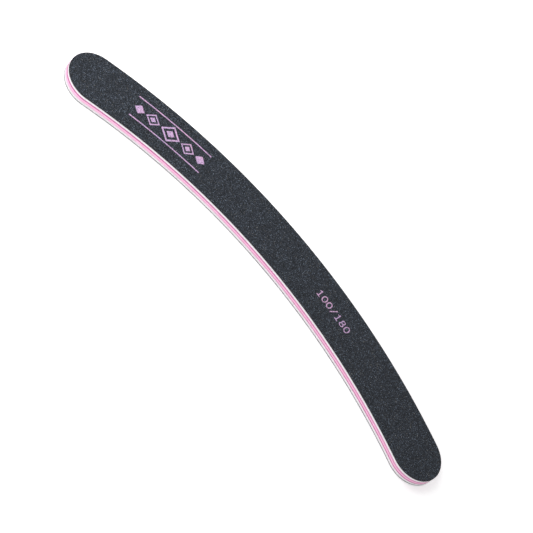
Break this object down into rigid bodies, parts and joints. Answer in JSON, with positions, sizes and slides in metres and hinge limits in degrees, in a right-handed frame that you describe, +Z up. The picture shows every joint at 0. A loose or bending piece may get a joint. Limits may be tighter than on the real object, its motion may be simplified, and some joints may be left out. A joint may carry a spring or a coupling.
{
  "type": "emery board",
  "caption": "Curved banana-shaped emery board with round ends: abrasive paper on both faces, white foam cushions and a stiff pink core, bonded into one flat laminate for filing nails.",
  "frame": {"origin": "on the lower abrasive face, at the centre of the board's bounding box", "axes": "+X along the board from end to end, +Y towards the outside of the bow, +Z up through the layers"},
  "size_m": [0.178, 0.0348, 0.0037],
  "materials": {
    "coarse_grit": "black silicon carbide grit in black resin, matt with a fine sparkle",
    "fine_grit": "finer black silicon carbide grit in black resin, matt",
    "backing_paper": "black waterproof paper, cut edge",
    "pale_paper": "pale grey waterproof paper, cut edge",
    "clear_adhesive": "clear pressure-sensitive film",
    "white_foam": "white closed-cell foam, cut edge",
    "tinted_adhesive": "film stained by the pink core",
    "pink_core": "pink sheet plastic, cut edge",
    "print_ink": "lilac screen-printed ink"
  },
  "bodies": {
    "root": {"upper_grit_coat": "coarse_grit", "upper_backing_paper": "backing_paper", "upper_paper_bond": "clear_adhesive", "upper_foam_cushion": "white_foam", "upper_core_bond": "tinted_adhesive", "core_board": "pink_core", "lower_core_bond": "tinted_adhesive", "lower_foam_cushion": "white_foam", "lower_paper_bond": "clear_adhesive", "lower_backing_paper": "pale_paper", "lower_grit_coat": "fine_grit"}
  },
  "joints": []
}
